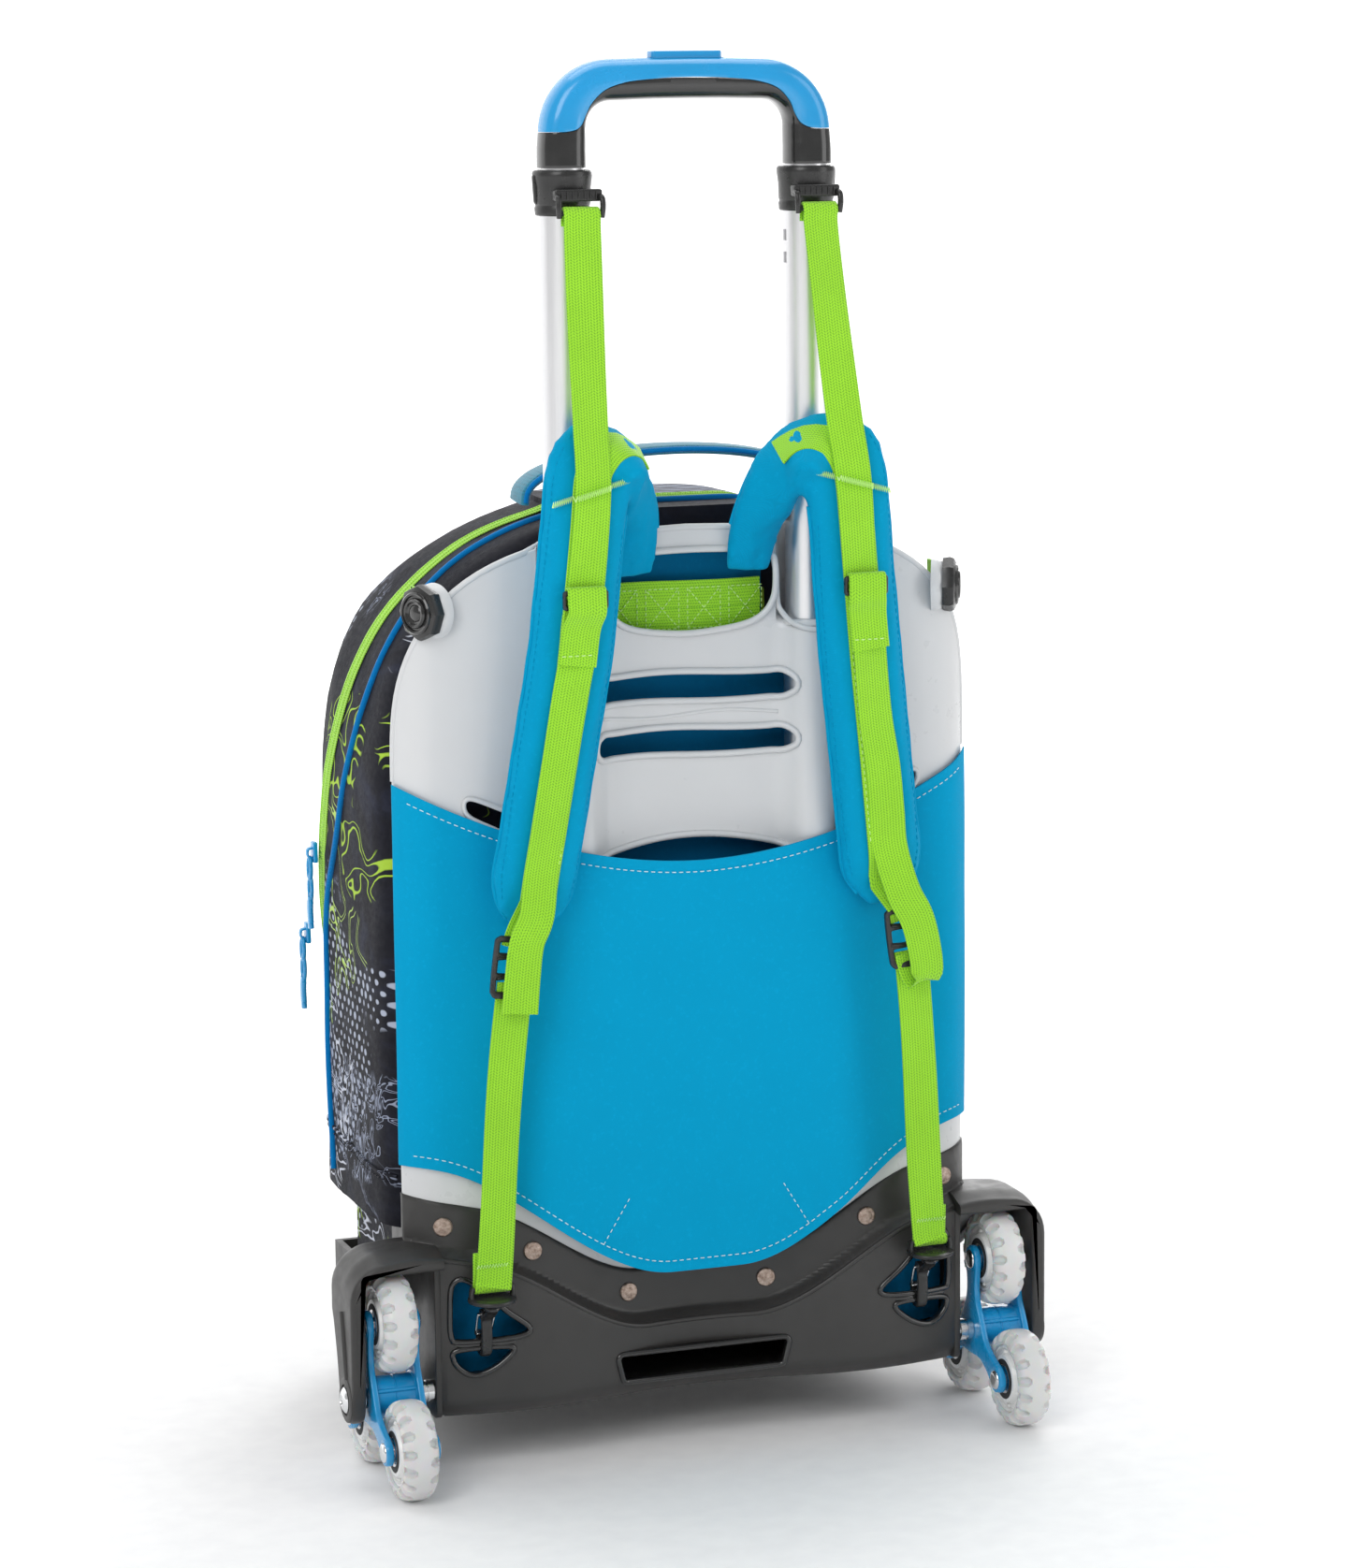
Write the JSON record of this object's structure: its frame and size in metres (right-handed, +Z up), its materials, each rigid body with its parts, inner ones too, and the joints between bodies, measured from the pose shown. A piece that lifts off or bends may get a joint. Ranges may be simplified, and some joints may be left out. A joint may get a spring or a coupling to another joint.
{
  "type": "wheeled school backpack trolley",
  "caption": "Backpack on a trolley frame: moulded back panel, padded harness, telescopic handle and a stair-climbing wheel cluster on each side.",
  "frame": {"origin": "on the ground, under the centre of the bounding box", "axes": "+X to the right of a person facing the harness side, -Y towards that person, +Z up"},
  "size_m": [0.412, 0.29, 0.7645],
  "materials": {
    "grey_panel": "satin moulded",
    "black_base": "fine grained",
    "black_plastic": "gloss",
    "blue_plastic": "gloss",
    "rivet_metal": "antique pewter",
    "steel": "polished",
    "tube_metal": "satin anodised",
    "printed_fabric": "printed woven polyester",
    "blue_fabric": "woven polyester",
    "lining_fabric": "woven polyester",
    "lime_webbing": "ribbed webbing",
    "lime_zip": "zip tape and coil",
    "blue_piping": "corded piping",
    "clear_tyre": "translucent polyurethane",
    "white_core": "moulded",
    "rubber_feet": "matt"
  },
  "bodies": {
    "frame": {"back_panel": "grey_panel", "base_shell": "black_base", "base_tray": "black_base", "base_rivets": "rivet_metal", "front_feet": "rubber_feet", "outer_tubes": "tube_metal", "bag_body": "printed_fabric", "front_pocket": "printed_fabric", "back_lining": "lining_fabric", "main_zipper": "lime_zip", "pocket_zipper": "lime_zip", "side_piping": "blue_piping", "carry_handle": "blue_fabric", "lumbar_sleeve": "blue_fabric", "harness_band": "lime_webbing", "shoulder_pad_left": "blue_fabric", "shoulder_pad_right": "blue_fabric", "pad_webbings": "lime_webbing", "strap_sliders": "black_plastic", "tail_webbings": "lime_webbing", "ladder_locks": "black_plastic", "lower_webbings": "lime_webbing", "hook_swivels": "black_plastic", "snap_hook_left": "black_plastic", "snap_hook_right": "black_plastic", "corner_knobs": "black_plastic", "side_tabs": "lime_webbing", "main_axles": "steel", "zip_sliders": "blue_plastic"},
    "mid_stage": {"mid_tubes": "tube_metal", "tube_collars": "black_plastic", "strap_clips": "black_plastic", "upper_webbings": "lime_webbing"},
    "upper_stage": {"upper_tubes": "tube_metal", "grip_core": "black_plastic", "grip_cover": "blue_plastic"},
    "button": {"push_button": "blue_plastic", "release_rods": "steel"},
    "gate_left": {"hook_gate_left": "steel"},
    "gate_right": {"hook_gate_right": "steel"},
    "pull_upper": {"zip_pull_upper": "blue_plastic"},
    "pull_lower": {"zip_pull_lower": "blue_plastic"},
    "cluster_left": {"cluster_left": "blue_plastic", "axle_rivets_left": "steel"},
    "wheel_left_top": {"tyre_left_top": "clear_tyre", "core_left_top": "white_core"},
    "wheel_left_rear": {"tyre_left_rear": "clear_tyre", "core_left_rear": "white_core"},
    "wheel_left_front": {"tyre_left_front": "clear_tyre", "core_left_front": "white_core"},
    "cluster_right": {"cluster_right": "blue_plastic", "axle_rivets_right": "steel"},
    "wheel_right_top": {"tyre_right_top": "clear_tyre", "core_right_top": "white_core"},
    "wheel_right_rear": {"tyre_right_rear": "clear_tyre", "core_right_rear": "white_core"},
    "wheel_right_front": {"tyre_right_front": "clear_tyre", "core_right_front": "white_core"}
  },
  "joints": [
    {"name": "stage_slide", "type": "slide", "parent": "frame", "child": "mid_stage", "axis": [0, 0, 1], "range_m": [-0.193, 0], "deforming": ["upper_webbings"]},
    {"name": "grip_slide", "type": "slide", "parent": "mid_stage", "child": "upper_stage", "axis": [0, 0, 1], "range_m": [0, 0.19]},
    {"name": "button_press", "type": "slide", "parent": "upper_stage", "child": "button", "axis": [0, 0, -1], "range_m": [0, 0.003], "stiffness_N_per_m": 600, "springref_m": -0.003},
    {"name": "cluster_left_spin", "type": "hinge", "parent": "frame", "child": "cluster_left", "pos_m": [-0.1775, -0.08296, 0.04725], "axis": [1, 0, 0], "continuous": true},
    {"name": "wheel_left_top_spin", "type": "hinge", "parent": "cluster_left", "child": "wheel_left_top", "pos_m": [-0.1775, -0.08296, 0.08775], "axis": [1, 0, 0], "continuous": true},
    {"name": "wheel_left_rear_spin", "type": "hinge", "parent": "cluster_left", "child": "wheel_left_rear", "pos_m": [-0.1775, -0.04789, 0.027], "axis": [1, 0, 0], "continuous": true},
    {"name": "wheel_left_front_spin", "type": "hinge", "parent": "cluster_left", "child": "wheel_left_front", "pos_m": [-0.1775, -0.11804, 0.027], "axis": [1, 0, 0], "continuous": true},
    {"name": "gate_left_swing", "type": "hinge", "parent": "frame", "child": "gate_left", "pos_m": [-0.12754, -0.09681, 0.091], "axis": [1, 0, 0], "range_deg": [-8, 0], "stiffness_Nm_per_rad": 0.02, "springref_deg": 2.86},
    {"name": "cluster_right_spin", "type": "hinge", "parent": "frame", "child": "cluster_right", "pos_m": [0.1775, -0.08296, 0.04725], "axis": [1, 0, 0], "continuous": true},
    {"name": "wheel_right_top_spin", "type": "hinge", "parent": "cluster_right", "child": "wheel_right_top", "pos_m": [0.1775, -0.08296, 0.08775], "axis": [1, 0, 0], "continuous": true},
    {"name": "wheel_right_rear_spin", "type": "hinge", "parent": "cluster_right", "child": "wheel_right_rear", "pos_m": [0.1775, -0.04789, 0.027], "axis": [1, 0, 0], "continuous": true},
    {"name": "wheel_right_front_spin", "type": "hinge", "parent": "cluster_right", "child": "wheel_right_front", "pos_m": [0.1775, -0.11804, 0.027], "axis": [1, 0, 0], "continuous": true},
    {"name": "gate_right_swing", "type": "hinge", "parent": "frame", "child": "gate_right", "pos_m": [0.12754, -0.09681, 0.091], "axis": [1, 0, 0], "range_deg": [-8, 0], "stiffness_Nm_per_rad": 0.02, "springref_deg": 2.86},
    {"name": "pull_upper_swing", "type": "hinge", "parent": "frame", "child": "pull_upper", "pos_m": [-0.1754, 0.07374, 0.314], "axis": [0, 1, 0], "range_deg": [0, 110]},
    {"name": "pull_lower_swing", "type": "hinge", "parent": "frame", "child": "pull_lower", "pos_m": [-0.1754, 0.09324, 0.264], "axis": [0, 1, 0], "range_deg": [0, 110]}
  ]
}
